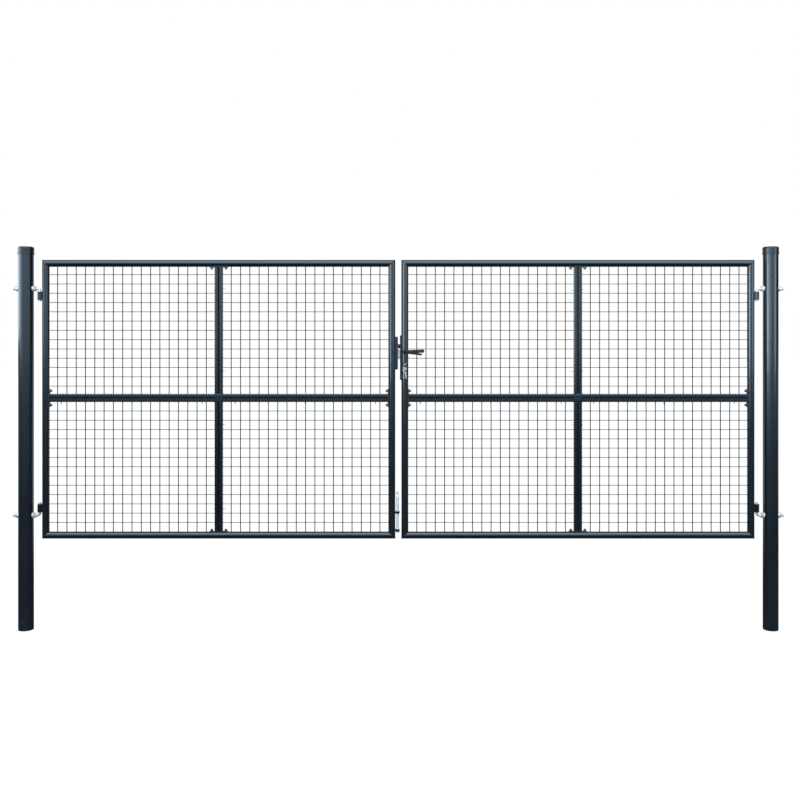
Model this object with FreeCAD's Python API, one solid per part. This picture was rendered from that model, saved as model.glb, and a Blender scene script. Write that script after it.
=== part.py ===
import FreeCAD, Part
import math
import os

# Double-leaf welded-mesh garden gate between two round posts. Millimetres.
# The origin is the middle of the left post's foot, +X runs along the gate to the
# right, +Y points into the garden (the leaves swing that way) and +Z is up.

point = FreeCAD.Vector
ALONG = point(1, 0, 0)
INWARD = point(0, 1, 0)
UP = point(0, 0, 1)

# Posts
post_diameter = 80.0
post_wall = 2.0
post_over_leaf = 62.0
cap_diameter = 84.0
cap_rim_diameter = 87.0
cap_rim_height = 7.0
cap_rim_slope = 2.0
cap_height = 42.0
cap_rise = 10.0
cap_crown = 2.0
cap_wall = 3.0
cap_edge_radius = 7.0
cap_edge_steps = 3
cap_clearance = 0.2

# Leaves: mitred round tube
leaf_width = 1900.0
leaf_height = 1500.0
leaf_underside = 488.0
frame_diameter = 38.0
frame_wall = 1.5
hinge_gap = 48.0
leaf_gap = 32.0

# Cross bars: roll-formed hollow bar with a groove down the middle of both faces
bar_width = 44.0
bar_depth = 24.0
bar_wall = 1.5
bar_corner = 6.0
groove_width = 10.0
groove_depth = 5.0
middle_rail_rise = 757.0

# Saddle flanges and their bolts at the bar ends
flange_length = 100.0
flange_depth = 24.0
flange_thickness = 3.0
bolt_spacing = 76.0
bolt_diameter = 8.0
bolt_hole = 8.8
bolt_head_flats = 13.0
bolt_head_height = 6.5
bolt_washer_diameter = 17.0
bolt_washer_height = 2.0
bolt_end_length = 3.5
bolt_reach = 10.0
drill_overrun = 1.0

# Welded mesh: upright wires in front, level wires behind
mesh_pitch = 50.0
upright_wire = 5.0
level_wire = 3.4
weld_sink = 0.5
smallest_mesh_margin = 25.0

# Hinges: bent bolts through the posts, barrels welded to the stiles
hinge_bolt_diameter = 16.0
hinge_bolt_bend = 16.0
hinge_bolt_end = 28.0
hinge_hole_clearance = 0.5
hinge_pin_clearance = 0.5
hinge_pin_overrun = 8.0
upper_hinge_drop = 155.0
lower_hinge_rise = 126.0
barrel_diameter = 26.0
barrel_length = 44.0
barrel_end_gap = 0.4
barrel_lug_depth = 14.0
nut_flats = 24.0
nut_height = 13.0
nut_thread_clearance = 0.15
nut_chamfer = 0.3
saddle_washer_diameter = 34.0
saddle_washer_rise = 2.0

# Strike on the left leaf
strike_drop = 95.0
strike_length = 176.0
strike_width = 22.0
strike_stand_off = 14.0
strike_wall = 2.5
keep_clearance = 0.6

# Lock on the right leaf
faceplate_drop = 151.0
faceplate_length = 240.0
faceplate_width = 22.0
faceplate_stand_off = 7.0
bolt_clearance = 0.6
bolt_to_strike = 0.4
latch_rise = 30.0
latch_length = 22.0
latch_width = 10.0
latch_depth = 36.0
latch_flat = 3.0
dead_bolt_drop = 12.0
dead_bolt_length = 54.0
dead_bolt_width = 12.0
dead_bolt_depth = 17.0
dead_bolt_edge = 1.0
tube_passage = 8.0
spindle_rise = 1005.0
spindle_side = 8.0
spindle_hole = 13.0
rose_diameter = 24.0
rose_stand_off = 6.0
lever_neck_diameter = 16.0
lever_reach = 58.0
lever_thickness = 10.0
lever_gap = 0.4
front_lever_droop = 9.0
rear_lever_rise = 2.0
cylinder_drop = 69.0
cylinder_diameter = 17.0
cylinder_web_width = 10.0
cylinder_web_drop = 24.0
cylinder_stand_off = 5.0
cylinder_hole_clearance = 0.5

# Lever grips
front_grip_length = 100.0
front_grip_root = 17.0
front_grip_height = 10.0
front_grip_corner = 4.5
rear_grip_length = 114.0
rear_grip_root = 16.0
rear_grip_height = 18.0
rear_grip_corner = 6.0
grip_edge_radius = 3.5

# Keys
key_bow = 24.0
key_thickness = 2.4
key_hole = 8.0
key_neck = 9.0
key_blade = 29.0
key_blade_height = 8.0
key_slot_clearance = 0.3
key_turn = 40.0
ring_diameter = 22.0
ring_wire = 2.0
ring_slack = 0.3
spare_key_slack = 1.0
spare_key_turn = 35.0
spare_key_spread = 14.0
spare_key_swing = 4.0

# Drop bolt between the leaves, on the left leaf
drop_bolt_diameter = 14.0
drop_bolt_offset = 12.5
drop_bolt_foot_rise = 32.0
drop_bolt_top_rise = 244.0
drop_bolt_bend = 14.0
drop_bolt_handle = 62.0
drop_bolt_clearance = 0.5
guide_rises = (45.0, 142.0)
guide_length = 12.0
guide_wall = 3.5
guide_width = 20.0

# Places worked out from the sizes above
post_radius = post_diameter / 2
frame_radius = frame_diameter / 2
leaf_start = post_radius + hinge_gap
leaf_end = leaf_start + leaf_width
leaf_top = leaf_underside + leaf_height
gate_middle = leaf_end + leaf_gap / 2
right_leaf_start = leaf_end + leaf_gap
hinge_stile_x = leaf_start + frame_radius
meeting_stile_x = leaf_end - frame_radius
top_rail_z = leaf_top - frame_radius
bottom_rail_z = leaf_underside + frame_radius
middle_rail_z = leaf_underside + middle_rail_rise
muntin_x = (leaf_start + leaf_end) / 2
hinge_x = leaf_start - barrel_diameter / 2
lock_stile_x = right_leaf_start + frame_radius
strike_face_x = leaf_end + strike_stand_off
faceplate_x = right_leaf_start - faceplate_stand_off
drop_bolt_x = leaf_end + drop_bolt_offset
post_length = leaf_top + post_over_leaf
upper_shank_height = leaf_top - upper_hinge_drop
lower_shank_height = leaf_underside + lower_hinge_rise
spindle_height = leaf_underside + spindle_rise
latch_height = spindle_height + latch_rise
dead_bolt_height = spindle_height - dead_bolt_drop
cylinder_height = spindle_height - cylinder_drop
faceplate_height = spindle_height - faceplate_drop
strike_height = spindle_height - strike_drop
drop_bolt_foot = leaf_underside + drop_bolt_foot_rise
drop_bolt_top = leaf_underside + drop_bolt_top_rise
guide_heights = [leaf_underside + rise for rise in guide_rises]


def rod(start, end, diameter):
    """Round bar between two points."""
    run = end.sub(start)
    return Part.makeCylinder(diameter / 2, run.Length, start, run)


def tube(start, end, diameter, wall):
    """Round tube between two points."""
    return rod(start, end, diameter).cut(rod(start, end, diameter - 2 * wall))


def block(low, high):
    """Box between its lowest and highest corners."""
    size = high.sub(low)
    return Part.makeBox(size.x, size.y, size.z, low)


def plate(corners, depth):
    """Upright plate centred on the gate's plane, with corners given as (x, z)."""
    outline = [point(x, -depth / 2, z) for x, z in corners]
    face = Part.Face(Part.makePolygon(outline + outline[:1]))
    return face.extrude(point(0, depth, 0))


def hexagon(start, axis, flats, height):
    """Hexagon with two flats along the gate's depth and its outer corners chamfered."""
    turn = FreeCAD.Rotation(UP, axis)
    corners = []
    for step in range(7):
        angle = math.radians(60 * step)
        radius = flats / math.sqrt(3)
        corners.append(start + turn.multVec(point(radius * math.cos(angle), radius * math.sin(angle), 0)))
    bar = Part.Face(Part.makePolygon(corners)).extrude(axis * height)
    crown = flats / 2 - nut_chamfer
    return bar.common(Part.makeCone(crown + height * math.sqrt(3), crown, height, start, axis))


def rounded_outline(corners, radii):
    """Closed wire through the corners, each rounded with its own radius."""
    edges = []
    count = len(corners)
    joints = []
    for index in range(count):
        corner = corners[index]
        back = corners[index - 1].sub(corner).normalize()
        ahead = corners[(index + 1) % count].sub(corner).normalize()
        radius = radii[index]
        if radius == 0:
            joints.append((corner, corner, corner))
            continue
        half = back.getAngle(ahead) / 2
        run = radius / math.tan(half)
        middle = (back + ahead).normalize()
        crest = corner + middle * (radius / math.sin(half) - radius)
        joints.append((corner + back * run, crest, corner + ahead * run))
    for index in range(count):
        start, crest, end = joints[index]
        following = joints[(index + 1) % count][0]
        if radii[index]:
            edges.append(Part.Arc(start, crest, end).toShape())
        edges.append(Part.LineSegment(end, following).toShape())
    return Part.Wire(edges)


def mirrored(shape):
    """The same piece on the other half of the gate."""
    return shape.mirror(point(gate_middle, 0, 0), ALONG)


def save(name, shape):
    """Write one piece; a compound keeps its solids apart."""
    shape.exportStep(os.path.join("parts", name + ".step"))


def several(shapes):
    return Part.makeCompound(shapes)


# Posts and caps

def post():
    """Round tube, open at the foot, drilled through for both hinge bolts."""
    shape = tube(point(0, 0, 0), point(0, 0, post_length), post_diameter, post_wall)
    for height in (upper_shank_height, lower_shank_height):
        hole = hinge_bolt_diameter + 2 * hinge_hole_clearance
        shape = shape.cut(rod(point(-post_radius, 0, height), point(post_radius, 0, height), hole))
    return shape


def post_cap():
    """Plastic cap with a thicker rim and a low crown, its ledge on the tube's end."""
    skirt_foot = post_length + cap_rise - cap_height
    top = post_length + cap_rise
    radius = cap_diameter / 2
    rim = cap_rim_diameter / 2
    shoulder = top - cap_crown - cap_edge_radius
    profile = [
        (0, skirt_foot), (rim, skirt_foot), (rim, skirt_foot + cap_rim_height),
        (radius, skirt_foot + cap_rim_height + cap_rim_slope),
    ]
    for step in range(cap_edge_steps + 1):
        angle = math.pi / 2 * step / cap_edge_steps
        out = radius - cap_edge_radius * (1 - math.cos(angle))
        profile.append((out, shoulder + cap_edge_radius * math.sin(angle)))
    profile.append((0, top))
    corners = [point(out, 0, height) for out, height in profile]
    outside = Part.Face(Part.makePolygon(corners + corners[:1])).revolve(point(0, 0, 0), UP, 360)
    socket = rod(point(0, 0, skirt_foot), point(0, 0, post_length), post_diameter + 2 * cap_clearance)
    hollow = rod(
        point(0, 0, skirt_foot), point(0, 0, top - cap_crown - cap_wall),
        post_diameter - 2 * post_wall - 2 * cap_wall,
    )
    return outside.cut(socket).cut(hollow)


# Leaf frame

def mitred_tubes():
    """Four tubes of the leaf, cut at half a right angle where they meet."""
    spare = frame_diameter
    inner = frame_diameter + spare
    left, right = leaf_start - spare, leaf_end + spare
    low, high = leaf_underside - spare, leaf_top + spare
    near, far = leaf_start + inner, leaf_end - inner
    under, over = leaf_underside + inner, leaf_top - inner
    hinge_side = plate([(left, low), (left, high), (near, over), (near, under)], 2 * spare)
    meeting_side = plate([(right, low), (right, high), (far, over), (far, under)], 2 * spare)
    top_side = plate([(left, high), (right, high), (far, over), (near, over)], 2 * spare)
    bottom_side = plate([(left, low), (right, low), (far, under), (near, under)], 2 * spare)
    hinge_stile = tube(
        point(hinge_stile_x, 0, low), point(hinge_stile_x, 0, high), frame_diameter, frame_wall
    ).common(hinge_side)
    meeting_stile = tube(
        point(meeting_stile_x, 0, low), point(meeting_stile_x, 0, high), frame_diameter, frame_wall
    ).common(meeting_side)
    top_rail = tube(
        point(left, 0, top_rail_z), point(right, 0, top_rail_z), frame_diameter, frame_wall
    ).common(top_side)
    bottom_rail = tube(
        point(left, 0, bottom_rail_z), point(right, 0, bottom_rail_z), frame_diameter, frame_wall
    ).common(bottom_side)
    return hinge_stile, meeting_stile, top_rail, bottom_rail


def frame_member(name, extra=0.0):
    """Solid round form of one frame tube's outside, grown by an extra thickness."""
    diameter = frame_diameter + 2 * extra
    members = {
        "hinge_stile": (point(hinge_stile_x, 0, leaf_underside), point(hinge_stile_x, 0, leaf_top)),
        "meeting_stile": (point(meeting_stile_x, 0, leaf_underside), point(meeting_stile_x, 0, leaf_top)),
        "top_rail": (point(leaf_start, 0, top_rail_z), point(leaf_end, 0, top_rail_z)),
        "bottom_rail": (point(leaf_start, 0, bottom_rail_z), point(leaf_end, 0, bottom_rail_z)),
    }
    start, end = members[name]
    return rod(start, end, diameter)


def grooved_bar(start, end, across):
    """Hollow bar with rounded corners and a groove along both faces."""
    run = end.sub(start)

    def solid(shrink):
        half = bar_width / 2 - shrink
        deep = bar_depth / 2 - shrink
        groove = groove_width / 2 + shrink / 2
        valley = deep - groove_depth
        corner = bar_corner - shrink
        outline = [
            (-half, -deep, corner), (-groove, -deep, 0), (0, -valley, 0), (groove, -deep, 0),
            (half, -deep, corner), (half, deep, corner), (groove, deep, 0), (0, valley, 0),
            (-groove, deep, 0), (-half, deep, corner),
        ]
        corners = [start + across * side + INWARD * depth for side, depth, radius in outline]
        radii = [radius for side, depth, radius in outline]
        return Part.Face(rounded_outline(corners, radii)).extrude(run)

    return solid(0).cut(solid(bar_wall))


def bolt_places():
    """Foot of each cross-bar bolt on its tube's axis, with its direction and tube."""
    half = bolt_spacing / 2
    return [
        (point(hinge_stile_x, 0, middle_rail_z - half), ALONG),
        (point(hinge_stile_x, 0, middle_rail_z + half), ALONG),
        (point(meeting_stile_x, 0, middle_rail_z - half), -ALONG),
        (point(meeting_stile_x, 0, middle_rail_z + half), -ALONG),
        (point(muntin_x - half, 0, top_rail_z), -UP),
        (point(muntin_x + half, 0, top_rail_z), -UP),
        (point(muntin_x - half, 0, bottom_rail_z), UP),
        (point(muntin_x + half, 0, bottom_rail_z), UP),
    ]


def bolt_holes(shape):
    """Drill one piece wherever a cross-bar bolt passes through it."""
    for place, way in bolt_places():
        reach = frame_radius + flange_thickness + drill_overrun
        shape = shape.cut(rod(place + way * (frame_radius - bolt_reach), place + way * reach, bolt_hole))
    return shape


def saddle_flange(member, low, high):
    """Strip bent round the inner side of a frame tube."""
    strip = frame_member(member, flange_thickness).cut(frame_member(member))
    return strip.common(block(low, high))


def groove_filler(side):
    """Strip that closes the middle rail's groove where the uprights meet it."""
    face = side * bar_depth / 2
    corners = [
        point(muntin_x - bar_width / 2, face, middle_rail_z - groove_width / 2),
        point(muntin_x - bar_width / 2, face, middle_rail_z + groove_width / 2),
        point(muntin_x - bar_width / 2, face - side * groove_depth, middle_rail_z),
    ]
    return Part.Face(Part.makePolygon(corners + corners[:1])).extrude(ALONG * bar_width)


def middle_rail():
    """Full-width cross bar with a saddle flange at each stile."""
    half = flange_length / 2
    depth = flange_depth / 2
    shape = grooved_bar(
        point(hinge_stile_x, 0, middle_rail_z), point(meeting_stile_x, 0, middle_rail_z), UP
    ).fuse([groove_filler(-1), groove_filler(1)])
    for member, low_x, high_x in (
        ("hinge_stile", hinge_stile_x, hinge_stile_x + frame_diameter),
        ("meeting_stile", meeting_stile_x - frame_diameter, meeting_stile_x),
    ):
        flange = saddle_flange(
            member, point(low_x, -depth, middle_rail_z - half), point(high_x, depth, middle_rail_z + half)
        )
        shape = shape.cut(frame_member(member)).fuse(flange)
    return bolt_holes(shape.removeSplitter())


def muntin(member):
    """Half-height cross bar from the middle rail to the top or bottom rail."""
    half = flange_length / 2
    depth = flange_depth / 2
    if member == "top_rail":
        start = point(muntin_x, 0, middle_rail_z + bar_width / 2)
        end = point(muntin_x, 0, top_rail_z)
        low_z, high_z = top_rail_z - frame_diameter, top_rail_z
    else:
        start = point(muntin_x, 0, bottom_rail_z)
        end = point(muntin_x, 0, middle_rail_z - bar_width / 2)
        low_z, high_z = bottom_rail_z, bottom_rail_z + frame_diameter
    shape = grooved_bar(start, end, ALONG)
    flange = saddle_flange(
        member, point(muntin_x - half, -depth, low_z), point(muntin_x + half, depth, high_z)
    )
    shape = shape.cut(frame_member(member)).fuse(flange)
    return bolt_holes(shape.removeSplitter())


def cross_bar_bolts():
    """Hexagon bolts with washers that hold the flanges to the frame tubes."""
    bolts = []
    seat = frame_radius + flange_thickness
    for place, way in bolt_places():
        clamped = place + way * (seat + bolt_washer_height)
        shank = rod(place + way * (frame_radius - bolt_reach), clamped, bolt_diameter)
        washer = rod(place + way * (seat - bolt_washer_height * 2), clamped, bolt_washer_diameter)
        tangent = UP if abs(way.x) > 0.5 else ALONG
        reach = tangent * bolt_washer_diameter
        washer = washer.cut(rod(place - reach, place + reach, 2 * seat))
        head = hexagon(clamped, way, bolt_head_flats, bolt_head_height)
        top = seat + bolt_washer_height + bolt_head_height
        end = rod(place + way * top, place + way * (top + bolt_end_length), bolt_diameter)
        bolts.append(shank.fuse([washer, head, end]).removeSplitter())
    return several(bolts)


# Welded mesh

def wire_places(start, end):
    """Middles of the wires in one bay, at the mesh pitch and centred in it."""
    clear = end - start
    count = int((clear - 2 * smallest_mesh_margin) / mesh_pitch) + 1
    first = start + (clear - (count - 1) * mesh_pitch) / 2
    return [first + index * mesh_pitch for index in range(count)]


def mesh_panel(stile, rail):
    """One bay of welded mesh, its wire ends cut to the tubes and bars they meet."""
    if stile == "hinge_stile":
        left, clear_left = hinge_stile_x, hinge_stile_x + frame_radius
        right = clear_right = muntin_x - bar_width / 2
    else:
        left = clear_left = muntin_x + bar_width / 2
        right, clear_right = meeting_stile_x, meeting_stile_x - frame_radius
    if rail == "top_rail":
        low = clear_low = middle_rail_z + bar_width / 2
        high, clear_high = top_rail_z, top_rail_z - frame_radius
    else:
        low, clear_low = bottom_rail_z, bottom_rail_z + frame_radius
        high = clear_high = middle_rail_z - bar_width / 2
    half = upright_wire / 2
    wires = []
    for x in wire_places(clear_left, clear_right):
        wires.append(block(point(x - half, -upright_wire, low), point(x + half, 0, high)))
    half = level_wire / 2
    for z in wire_places(clear_low, clear_high):
        front = -weld_sink
        wires.append(block(point(left, front, z - half), point(right, front + level_wire, z + half)))
    panel = wires[0].multiFuse(wires[1:])
    return panel.cut(frame_member(stile)).cut(frame_member(rail))


# Hinges

def bent_bolt(shank_height, turn):
    """Threaded bolt through the post, bent to a pin that turns up (1) or down (-1)."""
    bend_x = hinge_x - hinge_bolt_bend
    outer_end = -post_radius - hinge_bolt_end
    shank = rod(point(outer_end, 0, shank_height), point(bend_x, 0, shank_height), hinge_bolt_diameter)
    section = Part.Face(Part.Wire(Part.makeCircle(
        hinge_bolt_diameter / 2, point(bend_x, 0, shank_height), ALONG
    )))
    centre = point(bend_x, 0, shank_height + turn * hinge_bolt_bend)
    bend = section.revolve(centre, INWARD * -turn, 90)
    pin_start = shank_height + turn * hinge_bolt_bend
    pin_end = pin_start + turn * (barrel_end_gap + barrel_length + hinge_pin_overrun)
    pin = rod(point(hinge_x, 0, pin_start), point(hinge_x, 0, pin_end), hinge_bolt_diameter)
    return shank.fuse([bend, pin]).removeSplitter()


def hinge_nuts():
    """Nut and saddle washer on both sides of the post, for both bolts."""
    nuts = []
    thread = hinge_bolt_diameter + 2 * nut_thread_clearance
    seat = post_radius + saddle_washer_rise
    for height in (upper_shank_height, lower_shank_height):
        for side in (-1, 1):
            way = ALONG * side
            foot = point(0, 0, height)
            washer = rod(foot, foot + way * seat, saddle_washer_diameter)
            reach = UP * saddle_washer_diameter
            washer = washer.cut(rod(foot - reach, foot + reach, post_diameter))
            nut = hexagon(foot + way * seat, way, nut_flats, nut_height)
            bore = rod(foot, foot + way * (seat + nut_height + drill_overrun), thread)
            nuts.append(washer.fuse(nut).cut(bore).removeSplitter())
    return several(nuts)


def hinge_barrel(shank_height, turn):
    """Barrel round the pin, with a lug welded to the stile."""
    start = shank_height + turn * (hinge_bolt_bend + barrel_end_gap)
    end = start + turn * barrel_length
    low, high = min(start, end), max(start, end)
    barrel = rod(point(hinge_x, 0, low), point(hinge_x, 0, high), barrel_diameter)
    half = barrel_lug_depth / 2
    lug = block(point(hinge_x, -half, low), point(hinge_stile_x, half, high))
    bore_diameter = hinge_bolt_diameter + 2 * hinge_pin_clearance
    bore = rod(point(hinge_x, 0, low), point(hinge_x, 0, high), bore_diameter)
    return barrel.fuse(lug).cut(frame_member("hinge_stile")).cut(bore).removeSplitter()


# Strike and drop bolt on the left leaf

def strike():
    """Folded keep, open to the stile, with holes for the latch and the dead bolt."""
    half = strike_width / 2
    top = strike_height + strike_length
    outside = block(point(meeting_stile_x, -half, strike_height), point(strike_face_x, half, top))
    inside = block(
        point(meeting_stile_x, strike_wall - half, strike_height + strike_wall),
        point(strike_face_x - strike_wall, half - strike_wall, top - strike_wall),
    )
    shape = outside.cut(inside).cut(frame_member("meeting_stile"))
    for middle, length, width in (
        (latch_height, latch_length, latch_width), (dead_bolt_height, dead_bolt_length, dead_bolt_width)
    ):
        side = width / 2 + keep_clearance
        rise = length / 2 + keep_clearance
        shape = shape.cut(block(
            point(strike_face_x - strike_wall - drill_overrun, -side, middle - rise),
            point(strike_face_x + drill_overrun, side, middle + rise),
        ))
    return shape


def drop_bolt():
    """Round bolt in the gap between the leaves, bent over into the garden as a handle."""
    bend_start = drop_bolt_top - drop_bolt_diameter / 2 - drop_bolt_bend
    shank = rod(point(drop_bolt_x, 0, drop_bolt_foot), point(drop_bolt_x, 0, bend_start), drop_bolt_diameter)
    section = Part.Face(Part.Wire(Part.makeCircle(
        drop_bolt_diameter / 2, point(drop_bolt_x, 0, bend_start), UP
    )))
    bend = section.revolve(point(drop_bolt_x, drop_bolt_bend, bend_start), -ALONG, 90)
    handle_z = bend_start + drop_bolt_bend
    handle = rod(
        point(drop_bolt_x, drop_bolt_bend, handle_z), point(drop_bolt_x, drop_bolt_handle, handle_z),
        drop_bolt_diameter,
    )
    return shank.fuse([bend, handle]).removeSplitter()


def drop_bolt_guides():
    """Two eyes welded to the stile that the drop bolt slides through."""
    guides = []
    outer = drop_bolt_diameter + 2 * (drop_bolt_clearance + guide_wall)
    for middle in guide_heights:
        low, high = middle - guide_length / 2, middle + guide_length / 2
        eye = rod(point(drop_bolt_x, 0, low), point(drop_bolt_x, 0, high), outer)
        arm = block(
            point(meeting_stile_x, -guide_width / 2, low), point(drop_bolt_x, guide_width / 2, high)
        )
        bore = rod(
            point(drop_bolt_x, 0, low), point(drop_bolt_x, 0, high),
            drop_bolt_diameter + 2 * drop_bolt_clearance,
        )
        guides.append(eye.fuse(arm).cut(frame_member("meeting_stile")).cut(bore).removeSplitter())
    return several(guides)


# Lock on the right leaf

def lock_tube():
    """Outside of the right leaf's meeting stile."""
    return rod(point(lock_stile_x, 0, leaf_underside), point(lock_stile_x, 0, leaf_top), frame_diameter)


def bolt_passage(middle, length, width):
    """Slot through the faceplate and tube for a bolt, with its clearance."""
    side = width / 2 + bolt_clearance
    rise = length / 2 + bolt_clearance
    return block(
        point(faceplate_x - drill_overrun, -side, middle - rise),
        point(right_leaf_start + tube_passage, side, middle + rise),
    )


def cylinder_form(start_y, end_y, grow):
    """Profile cylinder: a round barrel with a web below it."""
    radius = cylinder_diameter / 2 + grow
    start = point(lock_stile_x, start_y, cylinder_height)
    end = point(lock_stile_x, end_y, cylinder_height)
    barrel = rod(start, end, 2 * radius)
    half = cylinder_web_width / 2 + grow
    web = block(
        point(lock_stile_x - half, start_y, cylinder_height - cylinder_web_drop - grow),
        point(lock_stile_x + half, end_y, cylinder_height),
    )
    return barrel.fuse(web).removeSplitter()


def lock_stile(stile):
    """Cut the lock's passages in the right leaf's meeting stile."""
    stile = stile.cut(bolt_passage(latch_height, latch_length, latch_width))
    stile = stile.cut(bolt_passage(dead_bolt_height, dead_bolt_length, dead_bolt_width))
    reach = frame_radius + drill_overrun
    spindle = rod(
        point(lock_stile_x, -reach, spindle_height), point(lock_stile_x, reach, spindle_height), spindle_hole
    )
    return stile.cut(spindle).cut(cylinder_form(-reach, reach, cylinder_hole_clearance))


def faceplate():
    """Plate along the stile with slots for both bolts, its back fitted to the tube."""
    half = faceplate_width / 2
    top = faceplate_height + faceplate_length
    shape = block(point(faceplate_x, -half, faceplate_height), point(lock_stile_x, half, top))
    shape = shape.cut(lock_tube())
    shape = shape.cut(bolt_passage(latch_height, latch_length, latch_width))
    return shape.cut(bolt_passage(dead_bolt_height, dead_bolt_length, dead_bolt_width))


def latch_bolt():
    """Latch with a nose bevelled on the side that meets the strike first."""
    nose = strike_face_x + bolt_to_strike
    half = latch_width / 2
    bevel = latch_width - latch_flat
    outline = [
        point(nose, half, 0), point(nose + bevel, -half, 0), point(nose + latch_depth, -half, 0),
        point(nose + latch_depth, half, 0),
    ]
    face = Part.Face(Part.makePolygon(outline + outline[:1]))
    face.translate(UP * (latch_height - latch_length / 2))
    return face.extrude(UP * latch_length)


def dead_bolt():
    """Plain square-ended bolt below the latch."""
    nose = strike_face_x + bolt_to_strike
    half = dead_bolt_width / 2
    rise = dead_bolt_length / 2
    shape = block(
        point(nose, -half, dead_bolt_height - rise),
        point(nose + dead_bolt_depth, half, dead_bolt_height + rise),
    )
    edges = [edge for edge in shape.Edges if abs(edge.BoundBox.XMax - nose) < 0.01]
    return shape.makeFillet(dead_bolt_edge, edges)


def lever(side, length, root, height, corner, droop):
    """Lever handle: a round neck out from the rose and a grip with rounded edges."""
    pivot = point(lock_stile_x, 0, spindle_height)
    outer = side * (frame_radius + lever_reach)
    inner = outer - side * lever_thickness
    middle = (outer + inner) / 2
    neck_start = side * (frame_radius + rose_stand_off + lever_gap)
    neck = rod(pivot + INWARD * neck_start, pivot + INWARD * middle, lever_neck_diameter)
    back = lever_neck_diameter / 2
    outline = [
        (-back, -root / 2), (length - back, -height / 2), (length - back, height / 2), (-back, root / 2),
    ]
    corners = [pivot + point(run, inner, rise) for run, rise in outline]
    face = Part.Face(rounded_outline(corners, [corner] * len(corners)))
    grip = face.extrude(INWARD * (outer - inner))
    rims = [edge for edge in grip.Edges if edge.BoundBox.YLength < 0.01]
    shape = grip.makeFillet(grip_edge_radius, rims).fuse(neck).removeSplitter()
    shape.rotate(pivot, INWARD, droop)
    return shape


def spindle():
    """Square bar through the stile that joins the two levers."""
    half = spindle_side / 2
    reach = frame_radius + rose_stand_off + lever_gap
    return block(
        point(lock_stile_x - half, -reach, spindle_height - half),
        point(lock_stile_x + half, reach, spindle_height + half),
    )


def roses():
    """Round rose on each side of the stile, with the spindle's hole through it."""
    shapes = []
    for side in (-1, 1):
        start = point(lock_stile_x, 0, spindle_height)
        end = start + INWARD * (side * (frame_radius + rose_stand_off))
        shapes.append(rod(start, end, rose_diameter).cut(lock_tube()).cut(rod(start, end, spindle_hole)))
    return several(shapes)


def lock_cylinder():
    """Profile cylinder through the stile with a key slot in front."""
    reach = frame_radius + cylinder_stand_off
    shape = cylinder_form(-reach, reach, 0)
    side = key_thickness / 2 + key_slot_clearance
    rise = key_blade_height / 2 + key_slot_clearance
    slot = block(point(-side, -reach, -rise), point(side, -reach + key_blade + drill_overrun, rise))
    slot.rotate(point(0, 0, 0), INWARD, key_turn)
    slot.translate(point(lock_stile_x, 0, cylinder_height))
    return shape.cut(slot)


def key_form():
    """Flat key: a round bow with a hole, a neck and a blade, the blade towards +Y."""
    thick = key_thickness
    bow = rod(point(-thick / 2, 0, 0), point(thick / 2, 0, 0), key_bow)
    hole = rod(point(-thick / 2, 0, 0), point(thick / 2, 0, 0), key_hole)
    half = key_blade_height / 2
    end = key_bow / 2 + key_neck + key_blade
    blade = block(point(-thick / 2, 0, -half), point(thick / 2, end, half))
    return bow.fuse(blade).cut(hole).removeSplitter()


def key():
    """Key in the front of the cylinder, turned as it was left."""
    shape = key_form()
    shape.rotate(point(0, 0, 0), INWARD, key_turn)
    return shape.translate(key_bow_place())


def key_bow_place():
    """Middle of the bow of the key in the lock."""
    reach = frame_radius + cylinder_stand_off + key_neck + key_bow / 2
    return point(lock_stile_x, -reach, cylinder_height)


def key_ring():
    """Wire ring through the tilted bow, and the two spare keys that hang from it."""
    radius = ring_diameter / 2
    tilt = math.radians(key_turn)
    wire = ring_wire / 2
    reach = key_hole / 2 - wire / math.cos(tilt) - key_thickness / 2 * math.tan(tilt) - ring_slack
    hang = key_bow_place() - point(math.sin(tilt), 0, math.cos(tilt)) * reach
    centre = hang - UP * radius
    ring = Part.makeTorus(radius, wire, centre, INWARD)
    drop = radius + key_hole / 2 - wire - spare_key_slack
    spares = []
    for side in (-1, 1):
        spare = key_form()
        spare.rotate(point(0, 0, 0), ALONG, -90)
        spare.rotate(point(0, 0, 0), UP, spare_key_turn)
        spare.rotate(point(0, 0, 0), INWARD, side * spare_key_swing)
        angle = math.radians(side * spare_key_spread)
        spares.append(spare.translate(centre - point(math.sin(angle), 0, math.cos(angle)) * drop))
    return ring, spares


os.makedirs("parts", exist_ok=True)

left_post = post()
save("left_post", left_post)
save("right_post", mirrored(left_post))
left_cap = post_cap()
save("left_post_cap", left_cap)
save("right_post_cap", mirrored(left_cap))

barrels = []
for level, height, turn in (("upper", upper_shank_height, -1), ("lower", lower_shank_height, 1)):
    bolt = bent_bolt(height, turn)
    save("left_%s_hinge_bolt" % level, bolt)
    save("right_%s_hinge_bolt" % level, mirrored(bolt))
    barrels.append(hinge_barrel(height, turn))
barrels = several(barrels)
save("left_hinge_barrels", barrels)
save("right_hinge_barrels", mirrored(barrels))
nuts = hinge_nuts()
save("left_hinge_nuts", nuts)
save("right_hinge_nuts", mirrored(nuts))

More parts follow.
